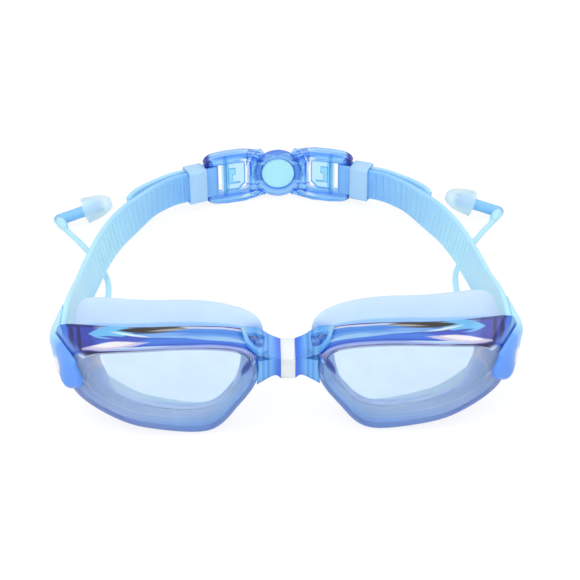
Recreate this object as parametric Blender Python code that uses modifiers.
"""Swim goggles with a quick-release clasp and tethered earplugs, in metres, +Z up.

The goggles lie as on a table: the lenses face -Y, the strap loop runs back to the clasp at +Y.
Lengths are written in millimetres and multiplied by MM. Places are worked out from the front plane
of the lenses (y = 0) and the table (z = 0), and one parent empty then centres the depth on the origin.
Right is +X. The left piece of each pair is a mirrored copy of the right one.
"""
import math

import bmesh
import bpy
from mathutils import Matrix, Vector

MM = 0.001

# Clearances
GAP = 0.3 * MM              # between pieces that touch
SLIDE_GAP = 0.4 * MM        # between pieces that slide or swing past each other
EMBED = 0.8 * MM            # how far a boss or bar starts inside the body it is part of

# Lens shells
LENS_NOSE_X = 9.8 * MM      # inner edge of the front window, from the middle
LENS_WIDTH = 66.2 * MM      # front window, nose to temple
LENS_HEIGHT = 36.5 * MM     # front window
LENS_WALL = 1.8 * MM
LENS_DEPTH = 11.5 * MM      # front window to rear rim, at the middle of the lens
LENS_FRONT_Y = 1.5 * MM     # deepest part of the window behind the front plane
FRONT_WRAP = 8.5 * MM       # how far the temple end of the window bends back
NOSE_WRAP = 1.2 * MM        # how far the nose end of the window bends back
RIM_WRAP = 9.3 * MM         # the same at the temple end of the rear rim
RIM_GROW_NOSE = 1.2 * MM    # the rim is larger than the window by these
RIM_GROW_TEMPLE = 3.6 * MM
RIM_GROW_TOP = 1.5 * MM
RIM_LIFT = 0.6 * MM         # underside of the rim above the table

# Lens outline in a unit box, nose to temple and bottom to top, from the upper nose corner downwards
OUTLINE = [(0.089, 0.94), (0.003, 0.55), (0.147, 0.165), (0.38, 0.004), (0.607, 0.05),
           (0.80, 0.165), (0.97, 0.36), (1.0, 0.60), (0.91, 0.86), (0.517, 1.0)]
OUTLINE_STEPS = 4           # samples on each stretch of the outline
WRAP_START = 0.515          # where along the width the lens starts to bend back
LIP_TOP_NOSE = (0.045, 0.99)    # the gasket's lip has squarer upper corners than the lens
LIP_TOP_TEMPLE = (0.94, 0.955)

# Gaskets
GASKET_SEAT_INSET = 1.4 * MM
GASKET_WALL = 1.9 * MM
GASKET_FLANGE = 1.8 * MM
EYE_INSET_NOSE = 7.9 * MM   # eye opening, inwards from the rim
EYE_INSET_TEMPLE = 15.6 * MM
EYE_INSET_BOTTOM = 4.6 * MM
EYE_INSET_TOP = 2.9 * MM
SKIRT_DEPTH = 15.5 * MM     # rim to face lip at the middle of the lens
SKIRT_NOSE_DROP = 11.6 * MM  # how much shallower the skirt is at the nose
SKIRT_TEMPLE_DROP = 0.5 * MM
SKIRT_CHEEK_DROP = 9.0 * MM  # and along the bottom, below the eye
LIP_INSET_TEMPLE = 5.1 * MM
LIP_GROW_TOP = 2.2 * MM
LIP_ROLL = 3.0 * MM         # width of the rolled face lip
LIP_ROLL_BOTTOM = 1.9 * MM

# Nose bridge and the lens hooks that it loops over
BRIDGE_HALF_BLOCK = 2.6 * MM
BRIDGE_HEIGHT = 9.4 * MM
BRIDGE_ROOF = 9.0 * MM      # depth of the upper plate
BRIDGE_ROOF_RISE = 2.9 * MM
BRIDGE_THICKNESS = 2.6 * MM
BRIDGE_BOTTOM_Z = 19.3 * MM
BRIDGE_FRONT_Y = 5.0 * MM
BRIDGE_ARM_RISE = 4.5 * MM  # how far the arms climb from the block to the lenses
BRIDGE_ARM_MIDDLE = 0.4     # where along the arm its lower edge arches highest
BRIDGE_ARCH = 2.2 * MM
BRIDGE_TOE = 0.2 * MM       # how far the arm's end reaches below the block
BRIDGE_ARM_FORWARD = 0.8 * MM
BRIDGE_LEAN = 2.5 * MM      # how far the block's lower edge leans back
HOOK_X = 8.1 * MM
HOOK_LENGTH = 2.9 * MM
HOOK_DEPTH = 3.2 * MM
HOOK_Y = 8.5 * MM
HOOK_THICKNESS = 2.3 * MM
HOOK_TOP_RISE = 0.7 * MM    # upper face of the hook's arm above the bridge's crease
HOOK_TIP_RISE = 0.4 * MM    # tip of the hook above the end of the bridge's arm

# Temple clips, their inlay plates and studs
CLIP_THICKNESS = 2.5 * MM
CLIP_END_THICKNESS = 1.5 * MM
CLIP_LENGTH = 20.0 * MM     # behind the lens rim
CLIP_BLEND = 5.0 * MM       # stretch in which it turns from the lens's curve into a flat plate
CLIP_TIP_WRAP = 0.16        # how far the tip comes round onto the window, as a share of its half width
CLIP_HEEL_LIFT = 2.2 * MM   # how far its lower edge is raised just behind the rim
CLIP_SEAT = 0.45 * MM       # clear of the lens wall
CLIP_RIM_ROOM = 0.9 * MM    # clear of the lens rim
BADGE_LENGTH = 9.0 * MM
BADGE_HEIGHT = 5.6 * MM
BADGE_THICKNESS = 1.0 * MM
BADGE_SINK = 0.7 * MM
BADGE_SHARE = 0.75          # place on the lens wall: window to rim
BOSS_SIZE = 5.0 * MM
BOSS_HEIGHT = 1.3 * MM
STUD_RADIUS = 2.0 * MM
STUD_HEAD_RADIUS = 3.4 * MM
STUD_HEAD = 1.2 * MM
STUD_SET_IN = 1.3 * MM      # how far the shank goes into the clip
STUD_BACK = 11.0 * MM       # behind the lens rim

# Straps
STRAP_THICKNESS = 2.0 * MM
STRAP_HEIGHT = 13.6 * MM    # ribbed stretch
STRAP_FRONT_HEIGHT = 14.2 * MM
STRAP_FRONT_Z = 22.4 * MM   # middle of the strap at the temple
RIB_PITCH = 3.3 * MM
RIB_HEIGHT = 0.6 * MM
RIB_MARGIN = 1.1 * MM       # plain edge above and below the ribs
STRAP_ANGLE = 24.0          # degrees, how the straight stretch leaves the adjuster
STRAP_STRAIGHT = 16.0 * MM  # straight stretch beside the adjuster
# Plan of the strap between the clip and the bar, as shares across (bar to clip) and back (clip to bar)
STRAP_WAY = [(0.968, 0.164), (0.944, 0.394), (0.86, 0.565), (0.733, 0.703), (0.535, 0.826), (0.414, 0.883)]
FLARE_END = 0.32            # shares back where the flare ends and the ribs start
RIB_START = 0.44
TAIL_LENGTH = 42.5 * MM
TAIL_PINCH = 3.0 * MM       # middle of the strap to middle of the tail inside the keeper
TAIL_PINCH_START = 5.0 * MM  # from the bar
TAIL_SPREAD = 4.4 * MM      # the same at the tail's end
TAIL_END_TAPER = 0.8

# Keepers
KEEPER_WIDTH = 8.0 * MM
KEEPER_WALL = 1.0 * MM
KEEPER_START = 3.6 * MM     # from the adjuster's bar

# Clasp and adjusters: u runs out from the clasp's middle, w from the head outwards
CLASP_Y = 177.0 * MM
CLASP_Z = 11.5 * MM
CLASP_RADIUS = 10.0 * MM
CLASP_DEPTH = 9.0 * MM
CLASP_CAVITY_RADIUS = 7.2 * MM
CLASP_LIP = 1.8 * MM
FRAME_ANGLE = 14.5          # degrees that each adjuster is turned towards the head
FRAME_LENGTH = 33.0 * MM    # clasp's middle to the outer end
FRAME_THICKNESS = 6.5 * MM
FRAME_HALF_HEIGHT = 11.5 * MM
FRAME_CORNER = 1.2 * MM
FRAME_HOLD = 57.0           # degrees of the clasp's rim that the frame reaches up to
WINDOW_START = 13.4 * MM
WINDOW_CORNER = 1.2 * MM
EYELET = [(9.2, 7.4), (12.5, 7.1), (11.8, 9.0)]  # small opening between clasp and window, (u, z) in mm
WINDOW_HALF_HEIGHT = 7.4 * MM
BAR_RADIUS = 1.2 * MM
BAR_U = 30.3 * MM
TONGUE_TIP = 4.4 * MM
TONGUE_HALF_HEIGHT = 3.6 * MM
TONGUE_THICKNESS = 1.4 * MM
TONGUE_LEVEL = -1.35 * MM
LEVER_PIN_U = 23.6 * MM
LEVER_TIP_U = 14.8 * MM
LEVER_THICKNESS = 2.0 * MM
LEVER_HALF_HEIGHT = 6.8 * MM
LEVER_KNUCKLE_RADIUS = 1.7 * MM
LEVER_CHAMFER = 3.0 * MM
LEVER_CORNER = 1.0 * MM
PIN_RADIUS = 0.8 * MM
PIN_HALF_LENGTH = 9.3 * MM
PIN_GAP = 0.15 * MM
DISC_THICKNESS = 1.2 * MM
DISC_RECESS = 0.9 * MM
DISC_LEDGE = 0.6 * MM
BUTTON_RADIUS = 5.9 * MM
BUTTON_FLANGE = 1.0 * MM
BUTTON_PROUD = 0.6 * MM
BUTTON_DOME = 0.3 * MM
BUTTON_EDGE = 0.8 * MM
SPRING_RADIUS = 2.7 * MM
SPRING_WIRE = 0.6 * MM
SPRING_TURNS = 2.5

# Earplugs and tethers, on the table beside the strap
CAP_RADIUS = 5.5 * MM
CAP_LENGTH = 12.0 * MM
CAP_WALL = 0.9 * MM
STEM_RADIUS = 2.0 * MM
STEM_LENGTH = 11.6 * MM     # elbow to the cap's rim
STEM_INSIDE = 7.4 * MM      # rim to the stem's end inside the cap
ELBOW = (94.2, 152.0)       # plan, mm
PLUG_HEADING = (-0.99, 0.1)  # plan direction, elbow to cap
TETHER_DIAMETER = 2.3 * MM
TETHER_WAY = [(71.6, 77.0, 2.6), (69.6, 86.0, 1.5), (69.1, 94.0, 1.4), (70.0, 103.0, 1.4),
              (72.7, 111.5, 1.4), (76.4, 120.0, 1.4), (80.7, 128.7, 1.4), (85.6, 137.5, 1.4),
              (90.2, 144.8, 1.4)]  # mm
TETHER_ROOT = 0.15          # share back along the strap
TETHER_ROOT_RISE = 2.6 * MM  # above the strap's lower edge
TETHER_STEP = 5.0 * MM
TURN_STEPS = 40

# Colours of the pieces: base colour, roughness, transmission
BLUE_LENS = ((0.30, 0.52, 0.95), 0.06, 0.7)
FROSTED_SILICONE = ((0.72, 0.86, 0.98), 0.45, 0.2)
CLEAR_SOFT = ((0.45, 0.68, 0.98), 0.2, 0.5)
PAD_BLUE = ((0.14, 0.40, 0.95), 0.35, 0.0)
PALE_INLAY = ((0.90, 0.90, 0.92), 0.3, 0.0)
STRAP_BLUE = ((0.45, 0.75, 0.98), 0.4, 0.1)
CLASP_BLUE = ((0.16, 0.48, 0.95), 0.12, 0.5)
LEVER_BLUE = ((0.40, 0.75, 0.98), 0.2, 0.3)
DISC_CYAN = ((0.42, 0.82, 0.98), 0.3, 0.0)
STEEL = ((0.62, 0.63, 0.65), 0.3, 0.0)
EARPLUG_BLUE = ((0.60, 0.82, 0.98), 0.4, 0.1)


def clear_scene():
    for old in list(bpy.data.objects):
        bpy.data.objects.remove(old, do_unlink=True)


clear_scene()
parts = bpy.data.collections.new("swim_goggles")
bpy.context.scene.collection.children.link(parts)


# General helpers

def catmull_rom(points, steps, closed=False):
    """A smooth curve through the points, with the given number of samples on each stretch."""
    pts = [Vector(p) for p in points]
    count = len(pts)
    out = []
    for i in range(count if closed else count - 1):
        if closed:
            p0, p1, p2, p3 = (pts[(i + k) % count] for k in (-1, 0, 1, 2))
        else:
            p1, p2 = pts[i], pts[i + 1]
            p0 = pts[i - 1] if i else 2 * p1 - p2
            p3 = pts[i + 2] if i + 2 < count else 2 * p2 - p1
        for k in range(steps):
            t = k / steps
            out.append(0.5 * (2 * p1 + (p2 - p0) * t + (2 * p0 - 5 * p1 + 4 * p2 - p3) * t ** 2
                              + (3 * p1 - p0 - 3 * p2 + p3) * t ** 3))
    if not closed:
        out.append(pts[-1])
    return out


def resample(points, spacing):
    """Points at an even spacing along a polyline, both ends kept."""
    lengths = [0.0]
    for a, b in zip(points, points[1:]):
        lengths.append(lengths[-1] + (b - a).length)
    count = max(2, round(lengths[-1] / spacing) + 1)
    out = []
    i = 0
    for k in range(count):
        s = lengths[-1] * k / (count - 1)
        while i < len(points) - 2 and lengths[i + 1] < s:
            i += 1
        t = (s - lengths[i]) / (lengths[i + 1] - lengths[i])
        out.append(points[i].lerp(points[i + 1], t))
    return out


def material(name, look):
    mat = bpy.data.materials.get(name)
    if mat is None:
        colour, roughness, transmission = look
        mat = bpy.data.materials.new(name)
        mat.use_nodes = True
        shader = mat.node_tree.nodes["Principled BSDF"]
        shader.inputs["Base Color"].default_value = (*colour, 1.0)
        shader.inputs["Roughness"].default_value = roughness
        shader.inputs["Transmission Weight"].default_value = transmission
        shader.inputs["Metallic"].default_value = 1.0 if name == "steel" else 0.0
    return mat


def add_object(name, mesh):
    obj = bpy.data.objects.new(name, mesh)
    parts.objects.link(obj)
    return obj


def mesh_from(bm, name):
    bmesh.ops.recalc_face_normals(bm, faces=bm.faces)
    mesh = bpy.data.meshes.new(name)
    bm.to_mesh(mesh)
    bm.free()
    return mesh


def loft(name, rings, ends="open", closed=False):
    """Skin rings of equal point count; closed joins last to first.

    The ends are open, flat, drawn to a point, or for a strip a ladder of quads across its thickness.
    """
    bm = bmesh.new()
    rows = [[bm.verts.new(p) for p in ring] for ring in rings]
    pairs = list(zip(rows, rows[1:]))
    if closed:
        pairs.append((rows[-1], rows[0]))
    for a, b in pairs:
        for k in range(len(a)):
            n = (k + 1) % len(a)
            bm.faces.new((a[k], a[n], b[n], b[k]))
    if ends == "flat":
        bm.faces.new(rows[0])
        bm.faces.new(rows[-1])
    if ends == "ladder":
        for row in (rows[0], rows[-1]):
            for k in range(len(row) // 2 - 1):
                bm.faces.new((row[k], row[k + 1], row[-2 - k], row[-1 - k]))
    if ends == "points":
        for row in (rows[0], rows[-1]):
            middle = sum((v.co for v in row), Vector()) / len(row)
            tip = bm.verts.new(middle)
            for k in range(len(row)):
                bm.faces.new((row[k], row[(k + 1) % len(row)], tip))
    return add_object(name, mesh_from(bm, name))


def box(name, low, high):
    bm = bmesh.new()
    bmesh.ops.create_cube(bm, size=1.0)
    size = Vector(high) - Vector(low)
    bmesh.ops.scale(bm, vec=size, verts=bm.verts)
    bmesh.ops.translate(bm, vec=Vector(low) + size / 2, verts=bm.verts)
    return add_object(name, mesh_from(bm, name))


def cylinder(name, radius, low, high, steps=24):
    """A rod between two points."""
    axis = Vector(high) - Vector(low)
    turn = axis.to_track_quat("Z", "Y").to_matrix().to_4x4()
    place = Matrix.Translation((Vector(low) + Vector(high)) / 2) @ turn
    bm = bmesh.new()
    bmesh.ops.create_cone(bm, cap_ends=True, segments=steps, radius1=radius, radius2=radius,
                          depth=axis.length, matrix=place)
    return add_object(name, mesh_from(bm, name))


def bake(obj):
    """Apply an object's modifiers, or turn a curve into a welded mesh."""
    bpy.context.view_layer.update()
    shape = obj.evaluated_get(bpy.context.evaluated_depsgraph_get())
    mesh = bpy.data.meshes.new_from_object(shape)
    bm = bmesh.new()
    bm.from_mesh(mesh)
    bmesh.ops.remove_doubles(bm, verts=bm.verts, dist=0.002 * MM)
    bm.to_mesh(mesh)
    bm.free()
    if obj.type == "MESH":
        obj.modifiers.clear()
        obj.data = mesh
        return obj
    name, place = obj.name, obj.matrix_world.copy()
    bpy.data.objects.remove(obj)
    obj = add_object(name, mesh)
    obj.matrix_world = place
    return obj


def cut(obj, tool, operation="DIFFERENCE"):
    """Join or cut with another piece, which is used up."""
    step = obj.modifiers.new(operation.lower(), "BOOLEAN")
    step.operation = operation
    step.object = tool
    bake(obj)
    bpy.data.objects.remove(tool)


def join(obj, tool):
    cut(obj, tool, "UNION")


def turned(name, profile, closed=False):
    """A profile of (radius, height) points turned about Z."""
    bm = bmesh.new()
    verts = [bm.verts.new((r, 0.0, h)) for r, h in profile]
    for a, b in zip(verts, verts[1:]):
        bm.edges.new((a, b))
    if closed:
        bm.edges.new((verts[-1], verts[0]))
    mesh = bpy.data.meshes.new(name)
    bm.to_mesh(mesh)
    bm.free()
    obj = add_object(name, mesh)
    screw = obj.modifiers.new("turn", "SCREW")
    screw.steps = screw.render_steps = TURN_STEPS
    screw.use_merge_vertices = True
    screw.merge_threshold = 0.002 * MM
    return bake(obj)


def plate(name, outlines, thickness):
    """A flat plate in the (u, z) plane with holes, half its thickness to each side of w = 0."""
    data = bpy.data.curves.new(name, "CURVE")
    data.dimensions = "2D"
    data.fill_mode = "BOTH"
    data.extrude = thickness / 2
    for outline in outlines:
        spline = data.splines.new("POLY")
        spline.points.add(len(outline) - 1)
        for point, (u, z) in zip(spline.points, outline):
            point.co = (u, z, 0.0, 1.0)
        spline.use_cyclic_u = True
    obj = bake(add_object(name, data))
    obj.data.transform(Matrix.Rotation(math.radians(90), 4, "X"))
    return obj


def tube(name, points, radius):
    data = bpy.data.curves.new(name, "CURVE")
    data.dimensions = "3D"
    data.bevel_depth = radius
    data.bevel_resolution = 2
    data.use_fill_caps = True
    spline = data.splines.new("POLY")
    spline.points.add(len(points) - 1)
    for point, place in zip(spline.points, points):
        point.co = (*place, 1.0)
    return bake(add_object(name, data))


def set_origin(obj, point):
    obj.data.transform(Matrix.Translation(-Vector(point)))
    obj.location = point


def mirrored(obj, name):
    """A mirror image in x of a piece and of its place under its parent."""
    mesh = obj.data.copy()
    mesh.transform(Matrix.Scale(-1.0, 4, (1, 0, 0)))
    mesh.flip_normals()
    twin = add_object(name, mesh)
    twin.location = (-obj.location.x, obj.location.y, obj.location.z)
    return twin


def finish(obj, name, look, parent):
    obj.name = name
    obj.data.name = name
    obj.data.materials.clear()
    obj.data.materials.append(material(*look))
    obj.data.shade_smooth()
    obj.data.set_sharp_from_angle(angle=math.radians(35))
    obj.parent = parent


def empty(name, parent, location=(0, 0, 0), turn_z=0.0):
    obj = bpy.data.objects.new(name, None)
    parts.objects.link(obj)
    obj.location = location
    obj.rotation_euler = (0, 0, math.radians(turn_z))
    obj.parent = parent
    return obj


# Lens surface

class Box:
    """A rectangle in front view that the lens outline is fitted into."""

    def __init__(self, x0, x1, z0, z1):
        self.x0, self.x1, self.z0, self.z1 = x0, x1, z0, z1

    def inset(self, nose, temple=None, bottom=None, top=None):
        temple = nose if temple is None else temple
        bottom = nose if bottom is None else bottom
        top = nose if top is None else top
        return Box(self.x0 + nose, self.x1 - temple, self.z0 + bottom, self.z1 - top)

    def between(self, other, t):
        return Box(*(a + (b - a) * t for a, b in zip(vars(self).values(), vars(other).values())))

    def point(self, unit):
        return (self.x0 + (self.x1 - self.x0) * unit[0], self.z0 + (self.z1 - self.z0) * unit[1])


WINDOW_BOX = Box(LENS_NOSE_X, LENS_NOSE_X + LENS_WIDTH, 0.0, LENS_HEIGHT)
RIM_BOX = Box(LENS_NOSE_X - RIM_GROW_NOSE, LENS_NOSE_X + LENS_WIDTH + RIM_GROW_TEMPLE,
              RIM_LIFT, LENS_HEIGHT + RIM_GROW_TOP)
LIP_OUTLINE = [LIP_TOP_NOSE] + OUTLINE[1:-2] + [LIP_TOP_TEMPLE, OUTLINE[-1]]
UNIT_OUTLINE = catmull_rom([(x, z, 0.0) for x, z in OUTLINE], OUTLINE_STEPS, closed=True)
UNIT_LIP = catmull_rom([(x, z, 0.0) for x, z in LIP_OUTLINE], OUTLINE_STEPS, closed=True)


def bend(x, temple_wrap, nose_wrap):
    """How far the lens is bent back at x, growing from the middle to either end."""
    middle = WINDOW_BOX.point((WRAP_START, 0))[0]
    if x > middle:
        return temple_wrap * ((x - middle) / (WINDOW_BOX.x1 - middle)) ** 2
    return nose_wrap * ((middle - x) / (middle - WINDOW_BOX.x0)) ** 2


def window_y(x):
    return LENS_FRONT_Y + bend(x, FRONT_WRAP, NOSE_WRAP)


def rim_y(x):
    wrap = RIM_WRAP * ((WINDOW_BOX.x1 - WINDOW_BOX.x0) / (RIM_BOX.x1 - RIM_BOX.x0)) ** 2
    return LENS_FRONT_Y + LENS_DEPTH + bend(x, wrap, NOSE_WRAP)


def skirt_y(x):
    """The face lip: shallow at the nose, and again a little at the temple."""
    return rim_y(x) + SKIRT_DEPTH + bend(x, -SKIRT_TEMPLE_DROP, -SKIRT_NOSE_DROP)


def ring(frame_box, depth, back=0.0, outline=UNIT_OUTLINE, cheek_drop=0.0):
    """The outline in a box at a depth; with a cheek drop it comes forward along the bottom, not at the nose."""
    out = []
    for unit in outline:
        x, z = frame_box.point(unit)
        low = (1 - unit[1]) ** 2 * max(1 - bend(x, 0.0, 1.0), 0.0)
        out.append(Vector((x, depth(x) + back - cheek_drop * low, z)))
    return out


def shrunk(frame_box, share):
    width = (frame_box.x1 - frame_box.x0) * (1 - share) / 2
    height = (frame_box.z1 - frame_box.z0) * (1 - share) / 2
    return frame_box.inset(width, width, height, height)


def make_lens():
    """A cup with a window in front: outer skin from the window's middle to the rim, then the inner skin."""
    inner_window = WINDOW_BOX.inset(LENS_WALL)
    inner_rim = RIM_BOX.inset(LENS_WALL)
    shares = (0.25, 0.6, 0.9)
    rings = [ring(shrunk(WINDOW_BOX, s), window_y) for s in shares]
    rings += [ring(WINDOW_BOX, window_y), ring(RIM_BOX, rim_y), ring(inner_rim, rim_y)]
    rings += [ring(inner_window, window_y, LENS_WALL)]
    rings += [ring(shrunk(inner_window, s), window_y, LENS_WALL) for s in reversed(shares)]
    lens = loft("lens", rings, ends="points")
    root_x = nose_wall_x(HOOK_TOP_Z - HOOK_THICKNESS / 2, HOOK_Y + HOOK_DEPTH / 2)
    arm = box("hook_arm", (HOOK_X, HOOK_Y, HOOK_TOP_Z - HOOK_THICKNESS),
              (root_x + EMBED, HOOK_Y + HOOK_DEPTH, HOOK_TOP_Z))
    peg = box("hook_peg", (HOOK_X, HOOK_Y, HOOK_TOP_Z - HOOK_THICKNESS / 2),
              (HOOK_X + HOOK_LENGTH, HOOK_Y + HOOK_DEPTH, HOOK_TIP_Z))
    join(arm, peg)
    join(lens, arm)
    join(lens, temple_boss(-EMBED, BOSS_SIZE))
    return lens


def wall_point(share, t):
    """A point of the lens wall: share 0 at the window's edge, 1 at the rim, t along the outline."""
    count = len(OUTLINE)
    i = int(math.floor(t)) * OUTLINE_STEPS
    part = (t - math.floor(t)) * OUTLINE_STEPS
    k = int(part)
    total = count * OUTLINE_STEPS
    a, b = UNIT_OUTLINE[(i + k) % total], UNIT_OUTLINE[(i + k + 1) % total]
    unit = a.lerp(b, part - k)
    if share < 0:
        x, z = shrunk(WINDOW_BOX, 1 + share).point(unit)
        return Vector((x, window_y(x), z))
    frame_box = WINDOW_BOX.between(RIM_BOX, min(share, 1.0))
    x, z = frame_box.point(unit)
    y = window_y(x) * (1 - share) + rim_y(x) * share if share < 1 else rim_y(x)
    return Vector((x, y, z))


def wall_normal(share, t):
    """Outward direction of the lens wall."""
    step = 0.05
    near = max(share, 0.0)
    along = wall_point(near, t + step) - wall_point(near, t - step)
    back = wall_point(min(near + step, 1.0), t) - wall_point(min(near + step, 1.0) - 2 * step, t)
    if share <= 0:
        back = wall_point(0.6, t) - wall_point(0.0, t)
    normal = along.cross(back).normalized()
    if normal.x < 0:
        normal.negate()
    if share <= 0:
        normal = (normal + Vector((0, -1.0, 0))).normalized()
    return normal


def nose_wall_x(z, y):
    """Outer x of the lens wall on the nose side at a height and depth."""
    best = None
    for k in range(41):
        t = 0.0 + 1.6 * k / 40
        for j in range(21):
            p = wall_point(j / 20, t)
            score = abs(p.z - z) + abs(p.y - y)
            if best is None or score < best[0]:
                best = (score, p.x)
    return best[1]


BRIDGE_CREASE_Z = BRIDGE_BOTTOM_Z + BRIDGE_HEIGHT
HOOK_TIP_Z = BRIDGE_CREASE_Z + BRIDGE_ARM_RISE + HOOK_TIP_RISE
HOOK_TOP_Z = BRIDGE_CREASE_Z + HOOK_TOP_RISE
BOSS_T = 6.9                # along the outline, in the middle of the temple side
BOSS_SHARE = 0.62
BADGE_T = 6.95


def temple_boss(start, size):
    """The square boss on the temple wall that the clip sits over."""
    middle = wall_point(BOSS_SHARE, BOSS_T)
    normal = wall_normal(BOSS_SHARE, BOSS_T)
    turn = normal.to_track_quat("X", "Z").to_matrix().to_4x4()
    boss = box("boss", (start, -size / 2, -size / 2), (BOSS_HEIGHT + size - BOSS_SIZE, size / 2, size / 2))
    boss.data.transform(Matrix.Translation(middle) @ turn)
    return boss


def make_gasket():
    seat = RIM_BOX.inset(GASKET_SEAT_INSET)
    eye = RIM_BOX.inset(EYE_INSET_NOSE, EYE_INSET_TEMPLE, EYE_INSET_BOTTOM, EYE_INSET_TOP)
    lip = RIM_BOX.inset(0.0, LIP_INSET_TEMPLE, 0.0, -LIP_GROW_TOP)
    inside = seat.inset(GASKET_WALL)
    rings = [ring(seat, rim_y, GAP), ring(eye, rim_y, GAP), ring(eye, rim_y, GAP + GASKET_FLANGE),
             ring(inside, rim_y, GAP + GASKET_FLANGE),
             ring(lip.inset(LIP_ROLL, LIP_ROLL, LIP_ROLL_BOTTOM), skirt_y, -LIP_ROLL / 2, UNIT_LIP,
                  SKIRT_CHEEK_DROP),
             ring(lip.inset(LIP_ROLL / 2, LIP_ROLL / 2, LIP_ROLL_BOTTOM / 2), skirt_y, 0.0, UNIT_LIP,
                  SKIRT_CHEEK_DROP),
             ring(lip, skirt_y, -LIP_ROLL / 3, UNIT_LIP, SKIRT_CHEEK_DROP)]
    return loft("gasket", rings, closed=True)


# Nose bridge

def make_bridge():
    """An angled strip, front plate and roof, that climbs from the middle block to both lenses."""
    roof_end_z = BRIDGE_CREASE_Z + BRIDGE_ARM_RISE
    end_bottom_x = nose_wall_x(BRIDGE_BOTTOM_Z, BRIDGE_FRONT_Y) - 3 * GAP
    end_waist_x = nose_wall_x(BRIDGE_CREASE_Z - BRIDGE_THICKNESS, BRIDGE_FRONT_Y) - 3 * GAP
    end_crease_x = nose_wall_x(roof_end_z - BRIDGE_THICKNESS, BRIDGE_FRONT_Y) - 4 * GAP
    end_roof_x = nose_wall_x(roof_end_z - BRIDGE_THICKNESS, BRIDGE_FRONT_Y + BRIDGE_ROOF) - 3 * GAP
    block = BRIDGE_HALF_BLOCK
    middle = block + (end_crease_x - block) * BRIDGE_ARM_MIDDLE
    # x of the bottom, waist, crease and roof edge, then how far the bottom arches and the arm has climbed
    stations = [(block, block, block, block, 0.0, 0.0),
                (middle * 0.85, middle * 0.9, middle, middle, BRIDGE_ARCH, BRIDGE_ARM_MIDDLE),
                (end_bottom_x, end_waist_x, end_crease_x, end_roof_x, -BRIDGE_TOE, 1.0)]
    rings = []
    thick = BRIDGE_THICKNESS
    for side in (-1, 1):
        rows = reversed(stations) if side < 0 else stations
        for x_bottom, x_waist, x_crease, x_roof, arch, climb in rows:
            lift = BRIDGE_ARM_RISE * climb
            front = BRIDGE_FRONT_Y - BRIDGE_ARM_FORWARD * climb
            lean = BRIDGE_LEAN * (1 - climb)
            bottom = (side * x_bottom, front + lean, BRIDGE_BOTTOM_Z + arch)
            waist = (side * x_waist, front + lean * 0.4, BRIDGE_CREASE_Z - thick)
            crease = (side * x_crease, front, BRIDGE_CREASE_Z + lift)
            roof = (side * x_roof, front + BRIDGE_ROOF, BRIDGE_CREASE_Z + BRIDGE_ROOF_RISE + lift)
            rings.append([bottom, waist, crease, roof, (roof[0], roof[1], roof[2] - thick),
                          (crease[0], crease[1] + thick * 1.1, crease[2] - thick * 0.9),
                          (waist[0], waist[1] + thick, waist[2] - thick * 0.3),
                          (bottom[0], bottom[1] + thick, bottom[2])])
    bridge = loft("bridge", rings, ends="ladder")
    for side in (-1, 1):
        near, far = HOOK_X - GAP, HOOK_X + HOOK_LENGTH + GAP
        window = box("window", (min(side * near, side * far), HOOK_Y - GAP, HOOK_TOP_Z - HOOK_THICKNESS),
                     (max(side * near, side * far), HOOK_Y + HOOK_DEPTH + GAP, HOOK_TIP_Z + BRIDGE_ROOF))
        cut(bridge, window)
    return bridge


# Temple clip: a patch that lies on the lens wall and runs on behind it as a plate beside the strap

CLIP_TIP = 6.69             # along the outline, where the tip points
CLIP_LOW = 6.38
CLIP_HIGH = 7.66


def clip_sections():
    """Share of the lens depth and the stretch of the outline that the clip covers there."""
    return [(-CLIP_TIP_WRAP, CLIP_TIP - 0.17, CLIP_TIP + 0.17),
            (-CLIP_TIP_WRAP / 2, CLIP_TIP - 0.27, CLIP_TIP + 0.29),
            (0.0, CLIP_LOW, CLIP_TIP + 0.37), (0.33, CLIP_LOW - 0.01, CLIP_HIGH - 0.5),
            (0.66, CLIP_LOW + 0.06, CLIP_HIGH - 0.3), (1.0, CLIP_LOW + 0.2, CLIP_HIGH)]


def clip_plane_x():
    """Inner face of the clip behind the lens, clear of the rim."""
    return RIM_BOX.x1 + CLIP_RIM_ROOM


def clip_plane_y():
    """Where the clip's flat plate starts."""
    return rim_y(RIM_BOX.x1) + CLIP_BLEND


def clip_end_y():
    return rim_y(RIM_BOX.x1) + CLIP_LENGTH


def make_clip():
    steps = 5
    rings = []
    for share, low, high in clip_sections():
        stretch = [low + (high - low) * k / (steps - 1) for k in range(steps)]
        base = [(wall_point(share, t), wall_normal(share, t)) for t in stretch]
        inner = [p + n * CLIP_SEAT for p, n in base]
        outer = [p + n * (GAP + CLIP_THICKNESS) for p, n in base]
        rings.append(inner + outer[::-1])
    for y, thick, lift in ((clip_plane_y(), CLIP_THICKNESS, CLIP_HEEL_LIFT),
                           (rim_y(RIM_BOX.x1) + STUD_BACK, CLIP_THICKNESS, 0.0),
                           (clip_end_y(), CLIP_END_THICKNESS, 0.0)):
        low, high = STRAP_FRONT_Z - STRAP_FRONT_HEIGHT / 2 + lift, STRAP_FRONT_Z + STRAP_FRONT_HEIGHT / 2
        heights = [low + (high - low) * k / (steps - 1) for k in range(steps)]
        inner = [Vector((clip_plane_x(), y, z)) for z in heights]
        outer = [Vector((clip_plane_x() + thick * (1.0 if 0 < k < steps - 1 else 0.7), y, z))
                 for k, z in enumerate(heights)]
        rings.append(inner + outer[::-1])
    clip = loft("clip", rings, ends="ladder")
    cut(clip, temple_boss(-LENS_WALL, BOSS_SIZE + 2 * GAP))
    cut(clip, cylinder("stud_hole", STUD_RADIUS + GAP, stud_point(-GAP), stud_point(STUD_SET_IN + GAP)))
    cut(clip, badge_plate("badge_recess", GAP))
    return clip


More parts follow.
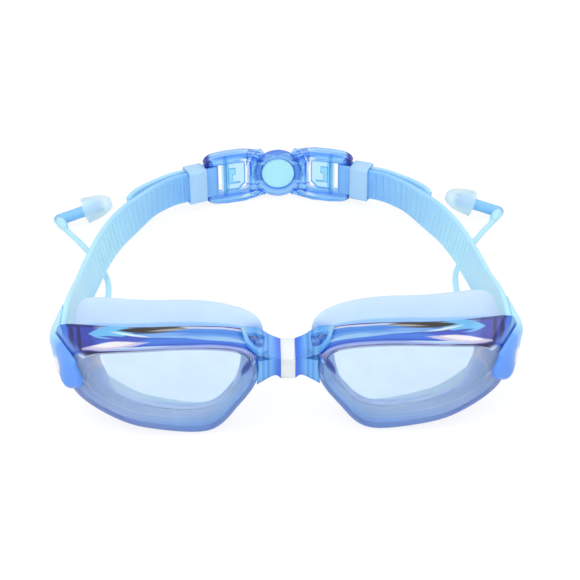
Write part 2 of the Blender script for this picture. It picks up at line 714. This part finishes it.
def stud_point(into):
    """A point on the stud's axis, measured from the clip's inner face outwards."""
    return Vector((clip_plane_x() + into, rim_y(RIM_BOX.x1) + STUD_BACK, STRAP_FRONT_Z))


def badge_plate(name, grow):
    """The oval inlay on the outside of the clip, or with grow the recess that it sits in."""
    normal = wall_normal(BADGE_SHARE, BADGE_T)
    surface = wall_point(BADGE_SHARE, BADGE_T) + normal * (GAP + CLIP_THICKNESS)
    top = BADGE_THICKNESS - BADGE_SINK + (CLIP_THICKNESS if grow else 0.0)
    plate_obj = cylinder(name, 1.0, (0, 0, -BADGE_SINK - grow), (0, 0, top))
    plate_obj.data.transform(Matrix.Diagonal((BADGE_LENGTH / 2 + grow, BADGE_HEIGHT / 2 + grow, 1, 1)))
    back = Vector((0, 1, 0)) - normal * normal.y
    back.normalize()
    up = normal.cross(back)
    turn = Matrix((back, up, normal)).transposed().to_4x4()
    plate_obj.data.transform(Matrix.Translation(surface) @ turn)
    return plate_obj


def make_stud():
    """A rivet from the inside through the strap's end into the clip."""
    strap_inside = -GAP - STRAP_THICKNESS - GAP
    stud = cylinder("stud", STUD_RADIUS, stud_point(strap_inside - STUD_HEAD / 2), stud_point(STUD_SET_IN))
    head = cylinder("head", STUD_HEAD_RADIUS, stud_point(strap_inside - STUD_HEAD), stud_point(strap_inside))
    join(stud, head)
    return stud


# Strap: a band along a plan path, folded round the adjuster's bar

def frame_direction():
    a = math.radians(FRAME_ANGLE)
    return Vector((math.cos(a), -math.sin(a), 0))


BAR_POINT = Vector((0, CLASP_Y, CLASP_Z)) + frame_direction() * BAR_U
STRAP_OUT = Vector((math.cos(math.radians(STRAP_ANGLE)), -math.sin(math.radians(STRAP_ANGLE)), 0))
STRAP_SIDE = Vector((-STRAP_OUT.y, STRAP_OUT.x, 0))   # away from the head
FOLD_RADIUS = BAR_RADIUS + GAP + STRAP_THICKNESS / 2


def strap_place(across, back):
    """A plan point between the bar and the rear end of the clip."""
    front_x = clip_plane_x() - GAP - STRAP_THICKNESS / 2
    return Vector((BAR_POINT.x + (front_x - BAR_POINT.x) * across,
                   clip_end_y() + (BAR_POINT.y - clip_end_y()) * back, 0))


def smooth(t):
    t = min(max(t, 0.0), 1.0)
    return t * t * (3 - 2 * t)


def tail_offset(s):
    """Middle of the strap to middle of the tail at a distance from the bar: wide, pinched, then loose."""
    fold = 2 * FOLD_RADIUS
    loose = smooth((s - STRAP_STRAIGHT) / (TAIL_LENGTH - STRAP_STRAIGHT))
    return fold + (TAIL_PINCH - fold) * smooth(s / TAIL_PINCH_START) + (TAIL_SPREAD - TAIL_PINCH) * loose


def strap_path():
    """Middle line of the strap in plan: the main run from the temple to the bar, then fold and tail."""
    front = strap_place(1, 0)
    start = [Vector((front.x, clip_plane_y() + GAP, 0)), front]
    way = [strap_place(across, back) for across, back in STRAP_WAY]
    bar = Vector((BAR_POINT.x, BAR_POINT.y, 0))
    turn_in = bar - STRAP_SIDE * FOLD_RADIUS
    run_out = turn_in + STRAP_OUT * STRAP_STRAIGHT
    curve = catmull_rom(start + way + [run_out, turn_in], 12)
    last = max(i for i, p in enumerate(curve) if (p - run_out).length < 0.01 * MM)
    main = resample(curve[:last + 1], RIB_PITCH / 2)
    main += resample([run_out, turn_in], RIB_PITCH / 2)[1:]
    fold = []
    for k in range(1, 8):
        a = math.pi * k / 8
        fold.append(bar + FOLD_RADIUS * (-STRAP_SIDE * math.cos(a) - STRAP_OUT * math.sin(a)))
    tail = []
    s = 0.0
    back_run = main[::-1]
    for before, p, after in zip([back_run[0]] + back_run, back_run, back_run[1:]):
        s += (p - before).length
        if s > TAIL_LENGTH:
            break
        along = (after - before).normalized()
        tail.append(p + Vector((-along.y, along.x, 0)) * tail_offset(s))
    return main, fold + tail


def strap_form(y):
    """Middle height and half height of the strap at a depth: it flares and climbs to the temple."""
    front, back = clip_end_y(), strap_place(1, FLARE_END).y
    t = smooth((y - front) / (back - front))
    return (STRAP_FRONT_Z + (CLASP_Z - STRAP_FRONT_Z) * t,
            (STRAP_FRONT_HEIGHT + (STRAP_HEIGHT - STRAP_FRONT_HEIGHT) * t) / 2)


def make_strap():
    main, rest = strap_path()
    path = main + rest
    rib_start = next(i for i, p in enumerate(main) if p.y > strap_place(1, RIB_START).y)
    rib_end = len(main) - 3
    rings = []
    for i, p in enumerate(path):
        before, after = path[max(i - 1, 0)], path[min(i + 1, len(path) - 1)]
        along = (after - before).normalized()
        inward = Vector((-along.y, along.x, 0))     # the head side of the main run
        z, half = strap_form(p.y if i < len(main) else CLASP_Y)
        if i == len(path) - 1:
            half *= TAIL_END_TAPER
        rib = RIB_HEIGHT if rib_start <= i < rib_end and (i - rib_start) % 2 == 0 else 0.0
        face = p + inward * STRAP_THICKNESS / 2
        back = p - inward * STRAP_THICKNESS / 2
        crest = face + inward * rib
        rings.append([(back.x, back.y, z - half), (back.x, back.y, z + half),
                      (face.x, face.y, z + half), (crest.x, crest.y, z + half - RIB_MARGIN),
                      (crest.x, crest.y, z - half + RIB_MARGIN), (face.x, face.y, z - half)])
    strap = loft("strap", rings, ends="flat")
    hole = cylinder("hole", STUD_RADIUS + GAP, stud_point(-3 * STRAP_THICKNESS), stud_point(0))
    cut(strap, hole)
    return strap


def make_keeper():
    """A loop round the strap and its tail, on the straight stretch by the adjuster."""
    half_height = STRAP_HEIGHT / 2 + SLIDE_GAP
    inner = FOLD_RADIUS + STRAP_THICKNESS / 2 + RIB_HEIGHT + SLIDE_GAP
    outer = tail_offset(KEEPER_START) - FOLD_RADIUS + STRAP_THICKNESS / 2 + SLIDE_GAP
    wall = KEEPER_WALL
    loop = box("keeper", (0, -inner - wall, -half_height - wall),
               (KEEPER_WIDTH, outer + wall, half_height + wall))
    soften = loop.modifiers.new("round", "BEVEL")
    soften.width = wall * 0.6
    soften.segments = 2
    bake(loop)
    hollow = box("hollow", (-KEEPER_WIDTH, -inner, -half_height), (2 * KEEPER_WIDTH, outer, half_height))
    cut(loop, hollow)
    turn = Matrix((STRAP_OUT, STRAP_SIDE, (0, 0, 1))).transposed().to_4x4()
    loop.data.transform(turn)
    loop.location = BAR_POINT + STRAP_OUT * KEEPER_START
    return loop


# Clasp: turned pieces stand on the (u, w, z) frame with w along +Y

def stand_up(obj):
    obj.data.transform(Matrix.Rotation(math.radians(-90), 4, "X"))
    return obj


HEAD_FACE = -CLASP_DEPTH / 2
OUTER_FACE = CLASP_DEPTH / 2
DISC_BACK = HEAD_FACE + DISC_RECESS + DISC_THICKNESS
LEDGE_LEVEL = DISC_BACK + GAP
LIP_LEVEL = OUTER_FACE - CLASP_LIP
BUTTON_FLANGE_TOP = LIP_LEVEL - GAP
BUTTON_FLANGE_LOW = BUTTON_FLANGE_TOP - BUTTON_FLANGE
BUTTON_TOP = OUTER_FACE + BUTTON_PROUD
DISC_SEAT_RADIUS = CLASP_CAVITY_RADIUS + DISC_LEDGE
CHAMFER = 1.2 * MM


def make_housing():
    profile = [(CLASP_RADIUS - CHAMFER, OUTER_FACE), (CLASP_RADIUS, OUTER_FACE - CHAMFER),
               (CLASP_RADIUS, HEAD_FACE + CHAMFER), (CLASP_RADIUS - CHAMFER, HEAD_FACE),
               (DISC_SEAT_RADIUS + CHAMFER / 2, HEAD_FACE), (DISC_SEAT_RADIUS, HEAD_FACE + DISC_RECESS),
               (DISC_SEAT_RADIUS, LEDGE_LEVEL), (CLASP_CAVITY_RADIUS, LEDGE_LEVEL),
               (CLASP_CAVITY_RADIUS, LIP_LEVEL), (BUTTON_RADIUS + GAP, LIP_LEVEL),
               (BUTTON_RADIUS + GAP, OUTER_FACE)]
    housing = stand_up(turned("housing", profile, closed=True))
    for side in (-1, 1):
        near, far = sorted((side * TONGUE_TIP, side * CLASP_RADIUS * 1.5))
        room = TONGUE_THICKNESS / 2 + GAP
        cut(housing, box("slot", (near, TONGUE_LEVEL - room, -TONGUE_HALF_HEIGHT - GAP),
                         (far, TONGUE_LEVEL + room, TONGUE_HALF_HEIGHT + GAP)))
    return housing


def make_disc():
    radius = DISC_SEAT_RADIUS - GAP
    profile = [(0.0, DISC_BACK), (radius, DISC_BACK), (radius, DISC_BACK - DISC_THICKNESS * 0.8),
               (radius - DISC_THICKNESS * 0.2, DISC_BACK - DISC_THICKNESS), (0.0, DISC_BACK - DISC_THICKNESS)]
    return stand_up(turned("disc", profile))


def make_button():
    flange = CLASP_CAVITY_RADIUS - GAP
    profile = [(0.0, BUTTON_TOP), (BUTTON_RADIUS * 0.6, BUTTON_TOP - BUTTON_DOME / 3),
               (BUTTON_RADIUS - BUTTON_EDGE / 2, BUTTON_TOP - BUTTON_DOME),
               (BUTTON_RADIUS, BUTTON_TOP - BUTTON_EDGE),
               (BUTTON_RADIUS, BUTTON_FLANGE_TOP), (flange, BUTTON_FLANGE_TOP),
               (flange, BUTTON_FLANGE_LOW), (0.0, BUTTON_FLANGE_LOW)]
    return stand_up(turned("button", profile))


def make_spring():
    low = DISC_BACK + GAP + SPRING_WIRE / 2
    high = BUTTON_FLANGE_LOW - GAP - SPRING_WIRE / 2
    count = round(SPRING_TURNS * 12)
    points = []
    for k in range(count + 1):
        a = 2 * math.pi * SPRING_TURNS * k / count
        level = low + (high - low) * k / count
        points.append((SPRING_RADIUS * math.cos(a), level, SPRING_RADIUS * math.sin(a)))
    print("button spring, gap between turns in mm:",
          round(((high - low) / SPRING_TURNS - SPRING_WIRE) / MM, 2))
    return tube("spring", points, SPRING_WIRE / 2)


# Adjusters

def pin_rod(name, radius, half_length):
    """A rod on the lever's hinge axis."""
    return cylinder(name, radius, (LEVER_PIN_U, 0, -half_length), (LEVER_PIN_U, 0, half_length), 16)


def make_frame():
    """A bowed plate with a window open at its outer end, closed there by the strap's bar."""
    ring_radius = CLASP_RADIUS + GAP
    hold = math.radians(FRAME_HOLD)
    corner = (ring_radius * math.cos(hold), ring_radius * math.sin(hold))
    high, end = FRAME_HALF_HEIGHT, FRAME_LENGTH
    shoulder = [(corner[0], corner[1], 0), (WINDOW_START * 0.75, high * 0.9, 0),
                (WINDOW_START * 1.2, high, 0)]
    outer_end = [(LEVER_PIN_U, high, 0), (BAR_U - BAR_RADIUS, high * 0.95, 0),
                 (end - FRAME_CORNER, high * 0.84, 0), (end, WINDOW_HALF_HEIGHT + FRAME_CORNER / 2, 0)]
    top = [(p.x, p.y) for p in catmull_rom(shoulder, 4) + catmull_rom(outer_end, 4)]
    bottom = [(u, -z) for u, z in reversed(top)]
    window = [(end, WINDOW_HALF_HEIGHT), (WINDOW_START + WINDOW_CORNER, WINDOW_HALF_HEIGHT),
              (WINDOW_START, WINDOW_HALF_HEIGHT - WINDOW_CORNER)]
    window += [(u, -z) for u, z in reversed(window)]
    outlines = [top + window + bottom]
    for side in (-1, 1):
        outlines.append([(u * MM, side * z * MM) for u, z in EYELET])
    frame = plate("frame", outlines, FRAME_THICKNESS)
    turn = math.radians(FRAME_ANGLE)
    clasp_axis = Vector((-math.sin(turn), math.cos(turn), 0)) * CLASP_DEPTH
    cut(frame, cylinder("clasp_room", ring_radius, -clasp_axis, clasp_axis, 48))
    join(frame, cylinder("bar", BAR_RADIUS, (BAR_U, 0, -WINDOW_HALF_HEIGHT - EMBED),
                         (BAR_U, 0, WINDOW_HALF_HEIGHT + EMBED), 16))
    half = TONGUE_THICKNESS / 2
    tongue = box("tongue", (TONGUE_TIP, TONGUE_LEVEL - half, -TONGUE_HALF_HEIGHT),
                 (ring_radius + EMBED, TONGUE_LEVEL + half, TONGUE_HALF_HEIGHT))
    tongue.data.transform(Matrix.Rotation(turn, 4, "Z"))
    join(frame, tongue)
    reach = PIN_HALF_LENGTH + GAP
    cut(frame, pin_rod("pin_hole", PIN_RADIUS + PIN_GAP, reach))
    return frame


def make_lever():
    """A flap on a round knuckle, with one corner cut off."""
    high, tip = LEVER_HALF_HEIGHT, LEVER_TIP_U
    outline = [(LEVER_PIN_U, high), (tip + LEVER_CORNER, high), (tip, high - LEVER_CORNER),
               (tip, -high + LEVER_CHAMFER), (tip + LEVER_CHAMFER, -high), (LEVER_PIN_U, -high)]
    lever = plate("lever", [outline], LEVER_THICKNESS)
    join(lever, pin_rod("knuckle", LEVER_KNUCKLE_RADIUS, high))
    cut(lever, pin_rod("bore", PIN_RADIUS + PIN_GAP, 2 * high))
    set_origin(lever, (LEVER_PIN_U, 0, 0))
    return lever


def make_pin():
    pin = pin_rod("pin", PIN_RADIUS, PIN_HALF_LENGTH)
    set_origin(pin, (LEVER_PIN_U, 0, 0))
    return pin


# Earplugs

def plug_frame():
    """Elbow point and direction of the stem: the elbow and the cap's rim both touch the table."""
    rise = math.asin((CAP_RADIUS - STEM_RADIUS) / STEM_LENGTH)
    flat = Vector((*PLUG_HEADING, 0)).normalized()
    axis = flat * math.cos(rise) + Vector((0, 0, math.sin(rise)))
    drop = CAP_RADIUS * math.cos(rise)
    elbow = Vector((ELBOW[0] * MM, ELBOW[1] * MM, 0))
    elbow.z = max(drop - STEM_LENGTH * math.sin(rise), STEM_RADIUS)
    return elbow, axis


def lay_along(obj, start, axis):
    obj.data.transform(Matrix.Translation(start) @ axis.to_track_quat("Z", "Y").to_matrix().to_4x4())
    return obj


def make_cap():
    """A hollow bullet: its inside narrows to the socket that holds the stem."""
    r, length, wall = CAP_RADIUS, CAP_LENGTH, CAP_WALL
    outside = [(0.0, length), (r * 0.36, length * 0.97), (r * 0.62, length * 0.84), (r * 0.82, length * 0.60),
               (r * 0.94, length * 0.30), (r, 0.0)]
    socket = STEM_RADIUS + GAP
    floor = STEM_INSIDE + GAP
    inside = [(r - wall, 0.0), (r * 0.94 - wall, floor * 0.45), (socket + wall, floor * 0.72),
              (socket, floor * 0.85), (socket, floor), (0.0, floor)]
    elbow, axis = plug_frame()
    return lay_along(turned("cap", outside + inside), elbow + axis * STEM_LENGTH, axis)


def make_stem():
    r = STEM_RADIUS
    profile = [(0.0, STEM_LENGTH + STEM_INSIDE), (r, STEM_LENGTH + STEM_INSIDE), (r, 0.0),
               (r * 0.8, -r * 0.6), (r * 0.45, -r * 0.9), (0.0, -r)]
    elbow, axis = plug_frame()
    return lay_along(turned("stem", profile), elbow, axis)


def make_tether():
    """A thin cord from the strap's inner face down to the table, under the strap and out to the elbow."""
    elbow, axis = plug_frame()
    root = tether_root()
    down = Vector((-TETHER_DIAMETER, TETHER_DIAMETER, -TETHER_DIAMETER))
    way = [root, root + down] + [Vector(p) * MM for p in TETHER_WAY]
    toward = (elbow - way[-1]).normalized()
    way.append(elbow - toward * (STEM_RADIUS + TETHER_DIAMETER / 2 + GAP))
    path = resample(catmull_rom(way, 8), TETHER_STEP)
    length = sum((b - a).length for a, b in zip(path, path[1:]))
    print("tether length in mm:", round(length / MM, 1))
    return tube("tether", path, TETHER_DIAMETER / 2)


def tether_root():
    """Where the tether leaves the strap: beside its inner face, a little above its lower edge."""
    y = strap_place(1, TETHER_ROOT).y
    main, _ = strap_path()
    near = min(main, key=lambda p: abs(p.y - y))
    middle, half = strap_form(near.y)
    side = STRAP_THICKNESS / 2 + TETHER_DIAMETER / 2 + 2 * GAP
    return Vector((near.x - side, near.y, middle - half + TETHER_ROOT_RISE))


# Assembly

def build():
    depth = CLASP_Y + BUTTON_TOP
    whole = empty("goggles", None, (0, -depth / 2 - LENS_FRONT_Y / 2, 0))
    clasp = empty("clasp", whole, (0, CLASP_Y, CLASP_Z))
    right_frame = empty("adjuster_right_axis", clasp, turn_z=-FRAME_ANGLE)
    left_frame = empty("adjuster_left_axis", clasp, turn_z=FRAME_ANGLE)

    pairs = [(make_lens, "lens", ("lens_blue", BLUE_LENS)),
             (make_gasket, "gasket", ("silicone", FROSTED_SILICONE)),
             (make_clip, "temple_clip", ("pad_blue", PAD_BLUE)),
             (lambda: badge_plate("badge", 0.0), "badge", ("inlay", PALE_INLAY)),
             (make_stud, "strap_stud", ("pad_blue", PAD_BLUE)),
             (make_strap, "strap", ("strap_blue", STRAP_BLUE)),
             (make_keeper, "strap_keeper", ("silicone", FROSTED_SILICONE)),
             (make_cap, "earplug_cap", ("earplug", EARPLUG_BLUE)),
             (make_stem, "earplug_stem", ("earplug", EARPLUG_BLUE)),
             (make_tether, "earplug_tether", ("earplug", EARPLUG_BLUE))]
    for make, name, look in pairs:
        right = make()
        left = mirrored(right, name + "_left")
        finish(right, name + "_right", look, whole)
        finish(left, name + "_left", look, whole)

    for make, name, look in [(make_frame, "adjuster", ("clasp_blue", CLASP_BLUE)),
                             (make_lever, "lock_lever", ("lever_blue", LEVER_BLUE)),
                             (make_pin, "lever_pin", ("clasp_blue", CLASP_BLUE))]:
        right = make()
        left = mirrored(right, name + "_left")
        finish(right, name + "_right", look, right_frame)
        finish(left, name + "_left", look, left_frame)

    finish(make_bridge(), "nose_bridge", ("bridge", CLEAR_SOFT), whole)
    finish(make_housing(), "clasp_housing", ("clasp_blue", CLASP_BLUE), clasp)
    finish(make_disc(), "cover_disc", ("disc_cyan", DISC_CYAN), clasp)
    finish(make_button(), "release_button", ("lever_blue", LEVER_BLUE), clasp)
    finish(make_spring(), "button_spring", ("steel", STEEL), clasp)


build()
